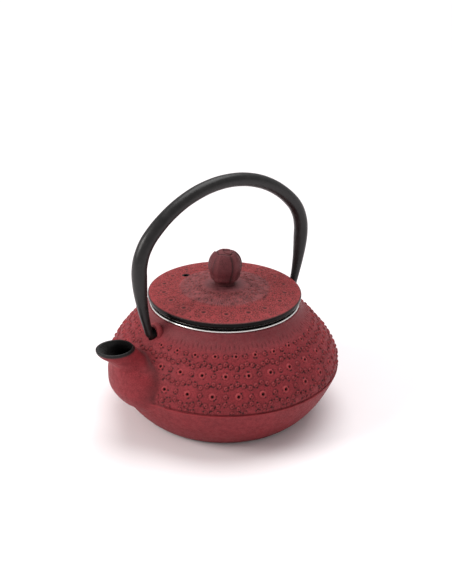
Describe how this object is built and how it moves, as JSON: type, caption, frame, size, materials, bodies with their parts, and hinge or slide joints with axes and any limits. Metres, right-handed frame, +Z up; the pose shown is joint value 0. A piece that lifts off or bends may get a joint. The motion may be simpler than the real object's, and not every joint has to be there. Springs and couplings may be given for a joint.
{
  "type": "cast iron teapot",
  "caption": "Small round cast iron teapot with a studded body, gooseneck spout, swinging bail handle, lift-off lid with a rosebud knob and a lift-out mesh infuser.",
  "frame": {"origin": "centre of the flat base, on the pot's axis", "axes": "+Z up along the pot's axis, +X towards the spout; the handle's hinge line is parallel to X"},
  "size_m": [0.1334, 0.1188, 0.1227],
  "materials": {
    "red_cast_iron": "matt red wash over black, cast grain",
    "plum_cast_iron": "matt worn plum over black",
    "black_iron": "satin black enamel",
    "stainless": "polished stainless sheet",
    "stainless_mesh": "woven stainless mesh",
    "steel": "plain steel"
  },
  "bodies": {
    "pot": {"pot_body": "red_cast_iron"},
    "handle": {"bail_handle": "black_iron"},
    "infuser": {"infuser_rim": "stainless", "infuser_wall": "stainless_mesh", "infuser_floor": "stainless_mesh", "infuser_foot_ring": "stainless"},
    "lid": {"lid": "red_cast_iron"},
    "knob": {"lid_knob": "plum_cast_iron", "knob_stud": "steel", "stud_washer": "steel"}
  },
  "joints": [
    {"name": "handle_swing", "type": "hinge", "parent": "pot", "child": "handle", "pos_m": [0, 0, 0.05035], "axis": [1, 0, 0], "range_deg": [-65, 65]},
    {"name": "infuser_lift", "type": "slide", "parent": "pot", "child": "infuser", "axis": [0, 0, 1], "range_m": [0, 0.03]},
    {"name": "lid_lift", "type": "slide", "parent": "infuser", "child": "lid", "axis": [0, 0, 1], "range_m": [0, 0.03]},
    {"name": "knob_turn", "type": "hinge", "parent": "lid", "child": "knob", "pos_m": [0, 0, 0.0665], "axis": [0, 0, 1], "continuous": true}
  ]
}
